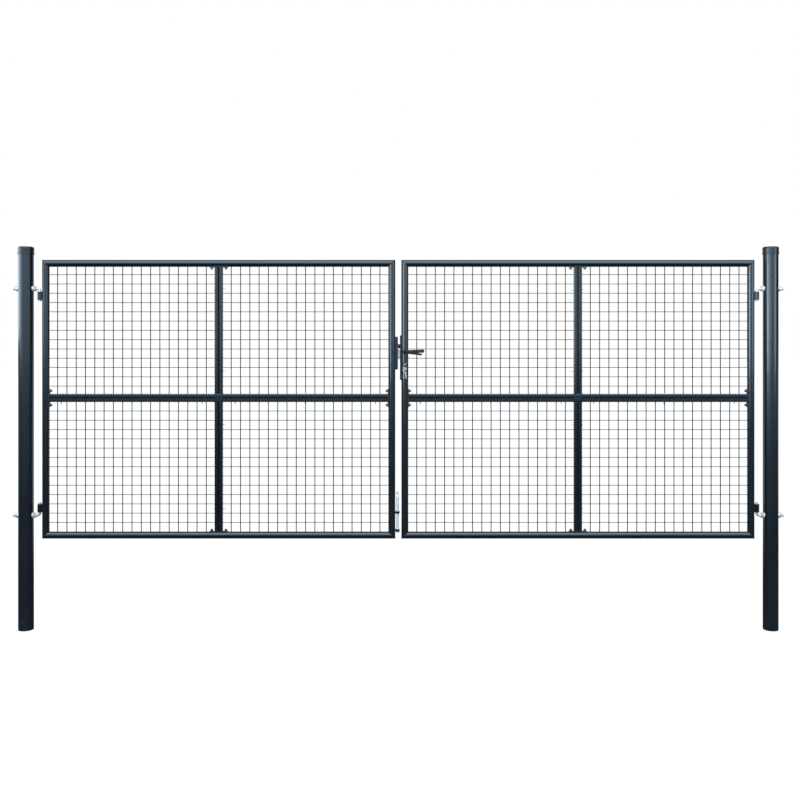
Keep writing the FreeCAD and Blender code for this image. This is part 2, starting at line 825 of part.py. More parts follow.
hinge_stile, meeting_stile, top_rail, bottom_rail = (bolt_holes(member) for member in mitred_tubes())
pieces = {
    "hinge_stile": hinge_stile,
    "top_rail": top_rail,
    "bottom_rail": bottom_rail,
    "middle_rail": middle_rail(),
    "upper_muntin": muntin("top_rail"),
    "lower_muntin": muntin("bottom_rail"),
    "cross_bar_bolts": cross_bar_bolts(),
    "upper_outer_mesh": mesh_panel("hinge_stile", "top_rail"),
    "upper_inner_mesh": mesh_panel("meeting_stile", "top_rail"),
    "lower_outer_mesh": mesh_panel("hinge_stile", "bottom_rail"),
    "lower_inner_mesh": mesh_panel("meeting_stile", "bottom_rail"),
}
for name, piece in pieces.items():
    save("left_" + name, piece)
    save("right_" + name, mirrored(piece))
save("left_meeting_stile", meeting_stile)
save("right_meeting_stile", lock_stile(mirrored(meeting_stile)))

save("strike", strike())
save("drop_bolt", drop_bolt())
save("drop_bolt_guides", drop_bolt_guides())

save("lock_faceplate", faceplate())
save("latch_bolt", latch_bolt())
save("dead_bolt", dead_bolt())
save("front_lever", lever(
    -1, front_grip_length, front_grip_root, front_grip_height, front_grip_corner, front_lever_droop
))
save("rear_lever", lever(
    1, rear_grip_length, rear_grip_root, rear_grip_height, rear_grip_corner, -rear_lever_rise
))
save("lever_spindle", spindle())
save("lever_roses", roses())
save("lock_cylinder", lock_cylinder())
save("key", key())
ring, spare_keys = key_ring()
save("key_ring", ring)
save("spare_key", spare_keys[0])
save("second_spare_key", spare_keys[1])
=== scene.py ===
import math
import bpy
from mathutils import Matrix, Vector


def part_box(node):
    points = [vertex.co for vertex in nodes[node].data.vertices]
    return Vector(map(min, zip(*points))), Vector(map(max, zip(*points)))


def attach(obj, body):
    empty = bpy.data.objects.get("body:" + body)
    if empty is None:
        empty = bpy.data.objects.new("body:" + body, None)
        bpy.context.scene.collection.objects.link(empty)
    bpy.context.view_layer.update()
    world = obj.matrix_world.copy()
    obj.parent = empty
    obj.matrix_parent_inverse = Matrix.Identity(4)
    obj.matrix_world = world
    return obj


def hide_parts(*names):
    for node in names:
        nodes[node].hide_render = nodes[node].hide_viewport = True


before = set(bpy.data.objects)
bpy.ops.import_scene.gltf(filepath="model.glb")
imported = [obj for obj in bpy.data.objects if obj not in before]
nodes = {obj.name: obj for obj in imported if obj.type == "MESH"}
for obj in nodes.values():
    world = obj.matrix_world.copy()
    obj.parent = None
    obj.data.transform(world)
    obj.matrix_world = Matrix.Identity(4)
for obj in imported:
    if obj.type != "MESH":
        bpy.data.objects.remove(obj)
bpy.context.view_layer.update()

# Posts: two steel tubes of 80 by 2 mm, drilled for the hinge bolts, then
# blasted and powder coated in anthracite. The stoved coat has a fine orange
# peel and a little cloudiness, and there is a trace of dust at the foot.


class Link:
    """A socket of a node tree. Arithmetic on it adds Math nodes."""

    def __init__(self, tree, socket):
        self.tree = tree
        self.socket = socket

    def maths(self, operation, first, second):
        return node(self.tree, "ShaderNodeMath", {"operation": operation}, {0: first, 1: second})

    def __add__(self, other):
        return self.maths("ADD", self, other)

    def __radd__(self, other):
        return self.maths("ADD", other, self)

    def __sub__(self, other):
        return self.maths("SUBTRACT", self, other)

    def __rsub__(self, other):
        return self.maths("SUBTRACT", other, self)

    def __mul__(self, other):
        return self.maths("MULTIPLY", self, other)

    def __rmul__(self, other):
        return self.maths("MULTIPLY", other, self)

    def __truediv__(self, other):
        return self.maths("DIVIDE", self, other)

    def __rtruediv__(self, other):
        return self.maths("DIVIDE", other, self)

    def ease(self, low, high):
        """0 up to low and 1 from high on, smoothly."""
        return node(
            self.tree, "ShaderNodeMapRange", {"interpolation_type": "SMOOTHSTEP", "clamp": True},
            {"Value": self, "From Min": low, "From Max": high},
        )


def node(tree, kind, settings, sockets, output=0):
    """Add a node: its settings first, then the values or links of its sockets."""
    made = tree.nodes.new(kind)
    for name, value in settings.items():
        setattr(made, name, value)
    for name, value in sockets.items():
        if isinstance(value, Link):
            tree.links.new(value.socket, made.inputs[name])
        else:
            made.inputs[name].default_value = value
    return Link(tree, made.outputs[output])


class Finish:
    """A material whose surface is laid on in coats."""

    def __init__(self, name, **constants):
        self.material = bpy.data.materials.new(name)
        self.material.use_nodes = True
        self.tree = self.material.node_tree
        self.shader = self.tree.nodes["Principled BSDF"]
        self.place = self.node("ShaderNodeTexCoord", {}, {}, "Object")
        for name, value in constants.items():
            self.shader.inputs[name.replace("_", " ")].default_value = value

    def node(self, kind, settings, sockets, output=0):
        return node(self.tree, kind, settings, sockets, output)

    def noise(self, scale, detail=2.0, stretch=None):
        place = self.place
        if stretch:
            place = self.node("ShaderNodeMapping", {}, {"Vector": place, "Scale": stretch})
        return self.node("ShaderNodeTexNoise", {}, {"Vector": place, "Scale": scale, "Detail": detail})

    def axis(self, output):
        return self.node("ShaderNodeSeparateXYZ", {}, {"Vector": self.place}, output)

    def blend(self, share, first, second):
        """Colour between two colours or links."""
        pair = [value if isinstance(value, Link) else (*value, 1.0) for value in (first, second)]
        return self.node(
            "ShaderNodeMix", {"data_type": "RGBA"}, {0: share, 6: pair[0], 7: pair[1]}, 2
        )

    def lay(self, name, value):
        """Feed a link to a socket of the shader."""
        self.tree.links.new(value.socket, self.shader.inputs[name])

    def relief(self, height, distance):
        """Raise the skin by a height, at half strength."""
        self.lay("Normal", self.node(
            "ShaderNodeBump", {}, {"Height": height, "Distance": distance, "Strength": 0.5}
        ))


def powder_coat(name, colour, roughness, gloss, dusty_foot=0.0):
    """Stoved powder coat with orange peel, and dust up to a height above the ground."""
    coat = Finish(
        name, IOR=1.5, Specular_IOR_Level=gloss, Specular_Tint=(0.72, 0.87, 1.0, 1.0), Coat_Weight=0.15,
        Coat_Roughness=0.06,
    )
    cloud = coat.noise(2.3, 3.0)
    peel = coat.noise(380.0, 1.0)
    grain = coat.noise(1900.0, 1.0)
    dark = [value * 0.9 for value in colour]
    pale = [value * 1.1 for value in colour]
    shade = coat.blend(cloud.ease(0.3, 0.7), dark, pale)
    if dusty_foot:
        height = coat.axis("Z")
        dust = (1.0 - height.ease(0.0, dusty_foot)) * coat.noise(38.0, 4.0).ease(0.42, 0.72) * 0.06
        shade = coat.blend(dust, shade, (0.17, 0.16, 0.15))
    coat.lay("Base Color", shade)
    coat.lay("Roughness", roughness + (cloud - 0.5) * 0.1 + (grain - 0.5) * 0.06)
    coat.relief(peel + grain * 0.25, 0.00012)
    return coat.material


def dress(names, material):
    """Give CAD nodes their finish."""
    for name in names:
        for slot in nodes[name].material_slots:
            slot.material = material


anthracite = (0.0066, 0.0096, 0.0138)
dust_height = 0.25
post_coat = powder_coat("post_powder_coat", anthracite, 0.23, 0.9, dust_height)
dress(["left_post", "right_post"], post_coat)


# Post caps: anthracite plastic caps with a raised rim and a rounded crown,
# injection moulded with a fine skin and pushed over the tube ends.
cap_plastic = Finish(
    "post_cap_plastic", IOR=1.47, Specular_IOR_Level=0.95, Specular_Tint=(0.70, 0.86, 1.0, 1.0),
)
cloud = cap_plastic.noise(14.0, 3.0)
pits = cap_plastic.noise(1100.0, 2.0)
cap_plastic.lay("Base Color", cap_plastic.blend(cloud, (0.006, 0.009, 0.013), (0.011, 0.015, 0.020)))
cap_plastic.lay("Roughness", 0.20 + cloud * 0.10)
cap_plastic.relief(pits, 0.0002)
dress(["left_post_cap", "right_post_cap"], cap_plastic.material)


# Hinge bolts and nuts: bent steel bolts with a rolled thread, nuts and saddle
# washers, all zinc plated. The bolts pass through the posts and carry the pins.
def zinc_plate(name, pale, dull, roughness, metallic=0.45):
    """Bright zinc plating with cloudy passivation and fine scratches."""
    plate = Finish(name, Metallic=metallic)
    cloud = plate.noise(55.0, 4.0)
    scratch = plate.noise(420.0, 3.0, (1.0, 1.0, 0.12))
    plate.lay("Base Color", plate.blend(cloud.ease(0.35, 0.7), pale, dull))
    plate.lay("Roughness", roughness + (cloud - 0.5) * 0.22 + (scratch - 0.5) * 0.12)
    plate.relief(scratch, 0.00006)
    return plate.material


def new_tree(name, inputs):
    """Geometry node tree whose named inputs are given as label: socket type."""
    tree = bpy.data.node_groups.new(name, "GeometryNodeTree")
    tree.interface.new_socket("Geometry", in_out="INPUT", socket_type="NodeSocketGeometry")
    tree.interface.new_socket("Geometry", in_out="OUTPUT", socket_type="NodeSocketGeometry")
    for label, kind in inputs.items():
        tree.interface.new_socket(label, in_out="INPUT", socket_type="NodeSocket" + kind)
    group = tree.nodes.new("NodeGroupInput")
    return tree, {label: Link(tree, group.outputs[label]) for label in ["Geometry", *inputs]}


def close_tree(tree, shape, material, smooth=True):
    """Realise the instances, give them their finish and end the tree."""
    real = node(tree, "GeometryNodeRealizeInstances", {}, {"Geometry": shape})
    shaded = node(tree, "GeometryNodeSetShadeSmooth", {}, {"Geometry": real, "Shade Smooth": smooth})
    finished = node(tree, "GeometryNodeSetMaterial", {}, {"Geometry": shaded, "Material": material})
    output = tree.nodes.new("NodeGroupOutput")
    tree.links.new(finished.socket, output.inputs[0])


def piece_from_tree(name, tree, values, start=None):
    """Run a tree on a mesh and keep the result as a plain mesh."""
    maker = bpy.data.objects.new(name + "_maker", start or bpy.data.meshes.new(name + "_start"))
    bpy.context.scene.collection.objects.link(maker)
    modifier = maker.modifiers.new("maker", "NODES")
    modifier.node_group = tree
    for item in tree.interface.items_tree:
        if item.in_out == "INPUT" and item.name in values:
            modifier[item.identifier] = values[item.name]
    bpy.context.view_layer.update()
    graph = bpy.context.evaluated_depsgraph_get()
    mesh = bpy.data.meshes.new_from_object(maker.evaluated_get(graph))
    bpy.data.objects.remove(maker)
    mesh.name = name
    piece = bpy.data.objects.new(name, mesh)
    bpy.context.scene.collection.objects.link(piece)
    return piece


def joined(name, parts):
    """One piece from several."""
    with bpy.context.temp_override(active_object=parts[0], selected_editable_objects=parts):
        bpy.ops.object.join()
    parts[0].name = name
    return parts[0]


hinge_zinc = zinc_plate("hinge_zinc", (0.93, 0.92, 0.91), (0.74, 0.74, 0.74), 0.30)
dress([side + level for side in ("left_", "right_") for level in (
    "upper_hinge_bolt", "lower_hinge_bolt", "hinge_nuts")], hinge_zinc)

bolt_radius = 0.008
thread_pitch = 0.002
thread_sink = 0.0001
thread_start = 0.001
thread_end = 0.0012
inner_thread = 0.004
thread_tree, given = new_tree("rolled_thread", {
    "Start": "Vector", "Length": "Float", "Pitch": "Float", "Radius": "Float", "Metal": "Material",
})
helix = node(thread_tree, "GeometryNodeCurveSpiral", {}, {
    "Resolution": 24, "Rotations": given["Length"] / given["Pitch"], "Start Radius": given["Radius"],
    "End Radius": given["Radius"], "Height": given["Length"],
})
crest = node(thread_tree, "GeometryNodeCurvePrimitiveCircle", {}, {
    "Resolution": 4, "Radius": given["Pitch"] * 0.3,
})
ridge = node(thread_tree, "GeometryNodeCurveToMesh", {}, {
    "Curve": helix, "Profile Curve": crest, "Fill Caps": True,
})
laid = node(thread_tree, "GeometryNodeTransform", {}, {
    "Geometry": ridge, "Translation": given["Start"], "Rotation": (0.0, math.radians(90), 0.0),
})
close_tree(thread_tree, laid, given["Metal"], smooth=False)

for side in ("left_", "right_"):
    runs = []
    for level in ("upper_", "lower_"):
        low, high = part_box(side + level + "hinge_bolt")
        nuts_low, nuts_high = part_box(side + "hinge_nuts")
        shank_z = low.z + bolt_radius if level == "lower_" else high.z - bolt_radius
        outer = low.x if side == "left_" else nuts_high.x
        outer_end = nuts_low.x if side == "left_" else high.x
        inner = nuts_high.x if side == "left_" else nuts_low.x - inner_thread
        for start, length in ((outer, outer_end - outer), (inner, inner_thread)):
            runs.append(piece_from_tree(side + level + "thread", thread_tree, {
                "Start": Vector((start + thread_start, 0.0, shank_z)),
                "Length": length - thread_start - thread_end, "Pitch": thread_pitch,
                "Radius": bolt_radius - thread_sink, "Metal": hinge_zinc,
            }))
    threads = joined(side + "hinge_threads", runs)
    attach(threads, "root")


# Leaf frames: four round tubes of 38 by 1.5 mm a leaf, cut at half a right
# angle and welded all round at the corners, then powder coated with the rest.
leaf_coat = powder_coat("leaf_powder_coat", anthracite, 0.19, 0.9)
sides = ("left", "right")
dress(["%s_%s" % (side, tube) for side in sides for tube in (
    "hinge_stile", "meeting_stile", "top_rail", "bottom_rail")], leaf_coat)

bead_tree, given = new_tree("weld_bead", {
    "Bead width": "Float", "Ripple": "Float", "Seed": "Int", "Coat": "Material",
})
path = node(bead_tree, "GeometryNodeMeshToCurve", {}, {"Mesh": given["Geometry"]})
steps = node(bead_tree, "GeometryNodeResampleCurve", {"mode": "LENGTH"}, {
    "Curve": path, "Length": given["Ripple"],
})
drop = node(bead_tree, "GeometryNodeMeshUVSphere", {}, {
    "Segments": 7, "Rings": 5, "Radius": given["Bead width"] * 0.5,
})
swell = node(bead_tree, "FunctionNodeRandomValue", {"data_type": "FLOAT"}, {
    2: 0.82, 3: 1.15, "Seed": given["Seed"],
}, 1)
bead = node(bead_tree, "GeometryNodeInstanceOnPoints", {}, {
    "Points": steps, "Instance": drop, "Scale": swell,
})
close_tree(bead_tree, bead, given["Coat"])


def weld(name, body, paths, width, seed):
    """Lay weld beads along closed or open runs of points, two ripples to a bead's width."""
    mesh = bpy.data.meshes.new(name + "_path")
    points = []
    edges = []
    for run, closed in paths:
        first = len(points)
        points.extend(run)
        edges.extend((first + index, first + index + 1) for index in range(len(run) - 1))
        if closed:
            edges.append((len(points) - 1, first))
    mesh.from_pydata(points, edges, [])
    bead = piece_from_tree(name, bead_tree, {
        "Bead width": width, "Ripple": width / 2, "Seed": seed, "Coat": leaf_coat,
    }, mesh)
    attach(bead, body)


tube_radius = 0.019
mitre_bead = 0.0030
mitre_sink = 0.0009
mitre_steps = 48
for side, seed in zip(sides, (3, 4)):
    low_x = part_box(side + "_top_rail")[0].x + tube_radius
    high_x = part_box(side + "_top_rail")[1].x - tube_radius
    low_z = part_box(side + "_bottom_rail")[0].z + tube_radius
    high_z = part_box(side + "_top_rail")[1].z - tube_radius
    mitres = []
    sunk = tube_radius - mitre_sink
    for x, way_x in ((low_x, -1), (high_x, 1)):
        for z, way_z in ((low_z, -1), (high_z, 1)):
            ring = []
            for step in range(mitre_steps):
                angle = math.tau * step / mitre_steps
                reach = sunk * math.cos(angle)
                ring.append((x + way_x * reach, sunk * math.sin(angle), z + way_z * reach))
            mitres.append((ring, True))
    weld(side + "_mitre_welds", side + "_leaf", mitres, mitre_bead, seed)


# Cross bars: roll-formed bars with a groove down both faces, a full-width rail
# and two half-height uprights a leaf, each end welded to a saddle flange.
dress(["%s_%s" % (side, bar) for side in sides for bar in (
    "middle_rail", "upper_muntin", "lower_muntin")], leaf_coat)
bar_half = 0.022
bar_half_depth = 0.012
flange_radius = 0.022
bar_bead = 0.0034
bead_rise = 0.0004
depth_steps = 3
groove_outline = ((-1.0, 1.0), (-0.25, 1.0), (-0.14, 0.6), (0.14, 0.6), (0.25, 1.0), (1.0, 1.0))


def middle(name, axis):
    """Middle of a node along an axis."""
    return sum(getattr(corner, axis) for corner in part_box(name)) / 2


def stile_boxes(side):
    """Boxes of a leaf's two stiles, from left to right."""
    boxes = [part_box("%s_%s" % (side, stile)) for stile in ("hinge_stile", "meeting_stile")]
    return sorted(boxes, key=lambda corners: corners[0].x)


for side, seed in zip(sides, (5, 6)):
    seams = []
    left_stile, right_stile = stile_boxes(side)
    rail_z = middle(side + "_middle_rail", "z")
    muntin_x = middle(side + "_upper_muntin", "x")
    top_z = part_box(side + "_top_rail")[1].z - tube_radius
    foot_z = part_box(side + "_bottom_rail")[0].z + tube_radius
    ends = [
        (left_stile[0].x + tube_radius, rail_z, 1, 0), (right_stile[1].x - tube_radius, rail_z, -1, 0),
        (muntin_x, top_z, 0, -1), (muntin_x, foot_z, 0, 1),
    ]
    for x, z, way_x, way_z in ends:
        seam = []
        for flank in (1, -1):
            for step in range(-depth_steps, depth_steps + 1):
                y = bar_half_depth * step * flank / depth_steps
                out = math.sqrt(flange_radius ** 2 - y ** 2)
                aside = bar_half * flank
                seam.append((x + way_x * out + abs(way_z) * aside, y, z + way_z * out + abs(way_x) * aside))
        seams.append((seam, True))
    for z in (rail_z - bar_half - bead_rise, rail_z + bar_half + bead_rise):
        seam = [
            (muntin_x + bar_half * run * face, bar_half_depth * deep * face, z)
            for face in (1, -1) for run, deep in groove_outline
        ]
        seams.append((seam, True))
    weld(side + "_bar_welds", side + "_leaf", seams, bar_bead, seed)


# Cross-bar bolts: short hexagon bolts with washers through the flanges into
# rivet nuts in the tubes, black from the oxide bath and slightly oily.
oxide = Finish("black_oxide_bolts", Metallic=1.0)
cloud = oxide.noise(160.0, 3.0)
oxide.lay("Base Color", oxide.blend(cloud, (0.13, 0.13, 0.14), (0.26, 0.26, 0.27)))
oxide.lay("Roughness", 0.24 + cloud * 0.2)
oxide.relief(oxide.noise(900.0), 0.00008)
dress(["left_cross_bar_bolts", "right_cross_bar_bolts"], oxide.material)


# Welded mesh: upright wires of 5 mm in front of level wires of 3.4 mm, pressed
# and spot welded at every crossing, with their ends butted to tubes and bars.
wire_coat = powder_coat("wire_powder_coat", anthracite, 0.32, 0.4)
mesh_pitch = 0.050
upright_wire = 0.005
level_wire = 0.0034
weld_sink = 0.0005
tube_bite = 0.0012
least_margin = 0.025
nugget_swell = 1.2
nugget_flatness = 0.55
mesh_tree, given = new_tree("welded_mesh_bay", {
    "Low corner": "Vector", "First crossing": "Vector", "Uprights": "Int", "Levels": "Int",
    "Pitch": "Float", "Upright run": "Vector", "Level run": "Vector", "Upright radius": "Float",
    "Level radius": "Float", "Level depth": "Float", "Coat": "Material",
})


def row_of_wires(start, run, count, step, radius):
    """Like wires side by side, each a drawn round wire with flat-cut ends."""
    line = node(mesh_tree, "GeometryNodeCurvePrimitiveLine", {}, {"End": run})
    section = node(mesh_tree, "GeometryNodeCurvePrimitiveCircle", {}, {"Resolution": 12, "Radius": radius})
    wire = node(mesh_tree, "GeometryNodeCurveToMesh", {}, {
        "Curve": line, "Profile Curve": section, "Fill Caps": True,
    })
    places = node(mesh_tree, "GeometryNodeMeshLine", {}, {
        "Count": count, "Start Location": start, "Offset": step,
    })
    return node(mesh_tree, "GeometryNodeInstanceOnPoints", {}, {"Points": places, "Instance": wire})


def vector(**axes):
    """Vector from the measures along its axes."""
    return node(mesh_tree, "ShaderNodeCombineXYZ", {}, axes)


def part(value, axis):
    """Measure of a vector along one axis."""
    return node(mesh_tree, "ShaderNodeSeparateXYZ", {}, {"Vector": value}, axis)


low = given["Low corner"]
first = given["First crossing"]
uprights = row_of_wires(
    vector(X=part(first, "X"), Y=part(first, "Y"), Z=part(low, "Z")), given["Upright run"],
    given["Uprights"], vector(X=given["Pitch"]), given["Upright radius"],
)
levels = row_of_wires(
    vector(X=part(low, "X"), Y=given["Level depth"], Z=part(first, "Z")), given["Level run"],
    given["Levels"], vector(Z=given["Pitch"]), given["Level radius"],
)
column = node(mesh_tree, "GeometryNodeMeshLine", {}, {
    "Count": given["Levels"], "Offset": vector(Z=given["Pitch"]),
})
row = node(mesh_tree, "GeometryNodeMeshLine", {}, {
    "Count": given["Uprights"], "Offset": vector(X=given["Pitch"]),
    "Start Location": vector(X=part(first, "X"), Z=part(first, "Z")),
})
grid = node(mesh_tree, "GeometryNodeRealizeInstances", {}, {
    "Geometry": node(mesh_tree, "GeometryNodeInstanceOnPoints", {}, {"Points": row, "Instance": column}),
})
nugget = node(mesh_tree, "GeometryNodeMeshUVSphere", {}, {
    "Segments": 8, "Rings": 4, "Radius": given["Upright radius"] * nugget_swell,
})
spots = node(mesh_tree, "GeometryNodeInstanceOnPoints", {}, {
    "Points": grid, "Instance": nugget, "Scale": (1.0, nugget_flatness, 1.0),
})
bay = mesh_tree.nodes.new("GeometryNodeJoinGeometry")
for shape in (uprights, levels, spots):
    mesh_tree.links.new(shape.socket, bay.inputs[0])
close_tree(mesh_tree, Link(mesh_tree, bay.outputs[0]), given["Coat"])

for side in sides:
    rail_low = middle(side + "_middle_rail", "z") - bar_half
    muntin_x = middle(side + "_upper_muntin", "x")
    for level in ("upper", "lower"):
        for place, stile in (("outer", "hinge_stile"), ("inner", "meeting_stile")):
            tube_low, tube_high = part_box("%s_%s" % (side, stile))
            if tube_low.x < muntin_x:
                left, right = tube_high.x, muntin_x - bar_half
            else:
                left, right = muntin_x + bar_half, tube_low.x
            if level == "upper":
                foot, head = rail_low + 2 * bar_half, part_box(side + "_top_rail")[0].z
            else:
                foot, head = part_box(side + "_bottom_rail")[1].z, rail_low
            columns, rows = (
                int((span - 2 * least_margin) / mesh_pitch) + 1 for span in (right - left, head - foot)
            )
            crossing = Vector((
                (left + right - (columns - 1) * mesh_pitch) / 2, -upright_wire / 2,
                (foot + head - (rows - 1) * mesh_pitch) / 2,
            ))
            name = "%s_%s_%s" % (side, level, place)
            wires = piece_from_tree(name + "_wires", mesh_tree, {
                "Low corner": Vector((left - tube_bite, 0.0, foot - tube_bite)), "First crossing": crossing,
                "Uprights": columns, "Levels": rows, "Pitch": mesh_pitch,
                "Upright run": Vector((0.0, 0.0, head - foot + 2 * tube_bite)),
                "Level run": Vector((right - left + 2 * tube_bite, 0.0, 0.0)),
                "Upright radius": upright_wire / 2, "Level radius": level_wire / 2,
                "Level depth": level_wire / 2 - weld_sink, "Coat": wire_coat,
            })
            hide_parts(name + "_mesh")
            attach(wires, side + "_leaf")


# Mesh screws: long zinc-plated screws driven through the bars that grip the
# mesh, with a low head on one side and a threaded point out of the other.
screw_zinc = zinc_plate("screw_zinc", (0.80, 0.80, 0.80), (0.62, 0.62, 0.62), 0.34)
screw_radius = 0.0026
screw_point = 0.016
screw_lean = 0.12
screw_overlap = 0.001
washer_seat = 0.0012
washer_height = 0.0013
tooth_radius = 0.0006
end_distance = 0.067
rail_distance = 0.122
screw_tree, given = new_tree("mesh_screw", {
    "Grip": "Float", "Radius": "Float", "Point": "Float", "Turn": "Rotation", "Lean": "Float",
    "Seed": "Int", "Metal": "Material",
})


def lifted(shape, height):
    """A piece of the screw moved along the screw's own axis."""
    lift = node(screw_tree, "ShaderNodeCombineXYZ", {}, {"Z": height})
    return node(screw_tree, "GeometryNodeTransform", {}, {"Geometry": shape, "Translation": lift})


def turned(start, length, wide, narrow, flats):
    """Round or tapering length of the screw, along its own axis."""
    return lifted(node(screw_tree, "GeometryNodeMeshCone", {}, {
        "Vertices": flats, "Radius Bottom": wide, "Radius Top": narrow, "Depth": length,
    }), start)


def all_ways(value):
    """Vector with the same measure along every axis."""
    return node(screw_tree, "ShaderNodeCombineXYZ", {}, {"X": value, "Y": value, "Z": value})


head_height = given["Radius"] * 1.2
thread_length = given["Point"] * 0.6
coil = node(screw_tree, "GeometryNodeCurveSpiral", {}, {
    "Resolution": 12, "Rotations": 5.0, "Start Radius": given["Radius"], "End Radius": given["Radius"] * 0.8,
    "Height": thread_length,
})
tooth = node(screw_tree, "GeometryNodeCurvePrimitiveCircle", {}, {"Resolution": 3, "Radius": tooth_radius})
coil = node(screw_tree, "GeometryNodeCurveToMesh", {}, {"Curve": coil, "Profile Curve": tooth})
core = given["Radius"] * 0.85
washer = given["Radius"] * 2.4
washer_foot = given["Grip"] * -1.0 - washer_seat
screw = screw_tree.nodes.new("GeometryNodeJoinGeometry")
for shape in (
    lifted(coil, given["Grip"]),
    turned(given["Grip"] - screw_overlap, thread_length + screw_overlap, given["Radius"], core, 14),
    turned(given["Grip"] + thread_length, given["Point"] * 0.4, core, 0.0002, 14),
    turned(washer_foot, washer_height, washer, washer, 20),
    turned(washer_foot - head_height, head_height, given["Radius"] * 1.5, given["Radius"] * 1.9, 20),
):
    screw_tree.links.new(shape.socket, screw.inputs[0])
lean = node(screw_tree, "FunctionNodeRandomValue", {"data_type": "FLOAT_VECTOR"}, {
    0: all_ways(given["Lean"] * -1.0), 1: all_ways(given["Lean"]), "Seed": given["Seed"],
})
driven = node(screw_tree, "GeometryNodeInstanceOnPoints", {}, {
    "Points": given["Geometry"], "Instance": Link(screw_tree, screw.outputs[0]), "Rotation": given["Turn"],
})
driven = node(screw_tree, "GeometryNodeRotateInstances", {}, {"Instances": driven, "Rotation": lean})
close_tree(screw_tree, driven, given["Metal"], smooth=False)

for side, way in (("left", 1), ("right", -1)):
    left_stile, right_stile = stile_boxes(side)
    rail_z = middle(side + "_middle_rail", "z")
    muntin_x = middle(side + "_upper_muntin", "x")
    across = []
    for left, right in ((left_stile[1].x, muntin_x - bar_half), (muntin_x + bar_half, right_stile[0].x)):
        across += [left + end_distance, (left + right) / 2, right - end_distance]
    heights = (
        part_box(side + "_top_rail")[0].z - rail_distance, rail_z + bar_half + rail_distance,
        rail_z - bar_half - rail_distance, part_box(side + "_bottom_rail")[1].z + rail_distance,
    )
    screws = []
    for name, places, turn in (
        ("rail", [(x, 0.0, rail_z) for x in across], (math.pi, 0.0, 0.0)),
        ("muntin", [(muntin_x, 0.0, z) for z in heights], (0.0, way * math.pi / 2, 0.0)),
    ):
        dots = bpy.data.meshes.new(side + name + "_screw_places")
        dots.from_pydata(places, [], [])
        screws.append(piece_from_tree("%s_%s_screws" % (side, name), screw_tree, {
            "Grip": bar_half, "Radius": screw_radius, "Point": screw_point, "Turn": turn,
            "Lean": screw_lean, "Seed": 21, "Metal": screw_zinc,
        }, dots))
    screws = joined(side + "_mesh_screws", screws)
    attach(screws, side + "_leaf")


# Hinge barrels: turned sleeves on flat lugs, welded to the stiles along the
# lugs' edges and coated with the leaf.
dress(["left_hinge_barrels", "right_hinge_barrels"], leaf_coat)
lug_half_depth = 0.007
lug_bead = 0.0036
lug_bead_out = 0.0006
barrel_length = 0.044
for side, way, seed in (("left", 1, 7), ("right", -1, 8)):
    stile_x = middle(side + "_hinge_stile", "x")
    low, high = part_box(side + "_hinge_barrels")
    lugs = []
    for start in (low.z, high.z - barrel_length):
        end = []
        for step in range(-2, 3):
            y = (lug_half_depth + lug_bead_out) * step / 2
            end.append((stile_x - way * math.sqrt(tube_radius ** 2 - y ** 2), y))
        seam = [(x, y, start - bead_rise) for x, y in end]
        seam += [(x, y, start + barrel_length + bead_rise) for x, y in reversed(end)]
        lugs.append((seam, True))
    weld(side + "_barrel_welds", side + "_leaf", lugs, lug_bead, seed)


# Strike: a keep folded from 2.5 mm strip, open to the stile and stitch welded
# to it, with holes for the latch and the dead bolt, coated black.
black_coat = powder_coat("black_lock_coat", (0.009, 0.011, 0.014), 0.30, 0.5)
dress(["strike"], black_coat)


def stitches(stile_x, way, half_depth, starts, length):
    """Short runs of weld along both edges of a plate against a stile."""
    x = stile_x + way * math.sqrt(tube_radius ** 2 - half_depth ** 2)
    runs = []
    for start in starts:
        for y in (-half_depth, half_depth):
            runs.append(([(x, y, start), (x, y, start + length)], False))
    return runs


left_stile_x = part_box("left_meeting_stile")[1].x - tube_radius
strip_half = 0.0112
strip_bead = 0.0032
stitch_length = 0.020
strike_inset = 0.004
strike_middle = 0.078
strike_low, strike_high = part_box("strike")
strike_stitches = [
    strike_low.z + strike_inset, strike_low.z + strike_middle,
    strike_high.z - strike_inset - stitch_length,
]
weld("strike_welds", "left_leaf", stitches(
    left_stile_x, 1, strip_half, strike_stitches, stitch_length), strip_bead, 9)


# Drop bolt: a zinc-plated round bar bent over at the top as its handle, which
# slides in two coated eyes welded to the left leaf's stile.
drop_zinc = zinc_plate("drop_bolt_zinc", (0.95, 0.95, 0.94), (0.82, 0.82, 0.82), 0.34, 0.25)
dress(["drop_bolt"], drop_zinc)
dress(["drop_bolt_guides"], leaf_coat)
guides_low, guides_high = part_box("drop_bolt_guides")
guide_length = 0.012
guide_half = 0.0102
guide_bead = 0.0030
guide_feet = [guides_low.z, guides_high.z - guide_length]
weld("guide_welds", "left_leaf", stitches(
    left_stile_x, 1, guide_half, guide_feet, guide_length), guide_bead, 10)


# Faceplate, latch and dead bolt: the lock's edge plate, stitch welded to the
# right leaf's stile, and its bevelled latch, both coated black, and a plain
# dead bolt, nickel plated.
def nickel_plate(name, pale, dull, roughness, brushed):
    """Nickel plating over turned or brushed metal."""
    plate = Finish(name, Metallic=0.6)
    cloud = plate.noise(120.0, 3.0)
    lines = plate.noise(700.0, 2.0, brushed)
    plate.lay("Base Color", plate.blend(cloud, pale, dull))
    plate.lay("Roughness", roughness + (lines - 0.5) * 0.2)
    plate.relief(lines, 0.00005)
    return plate.material


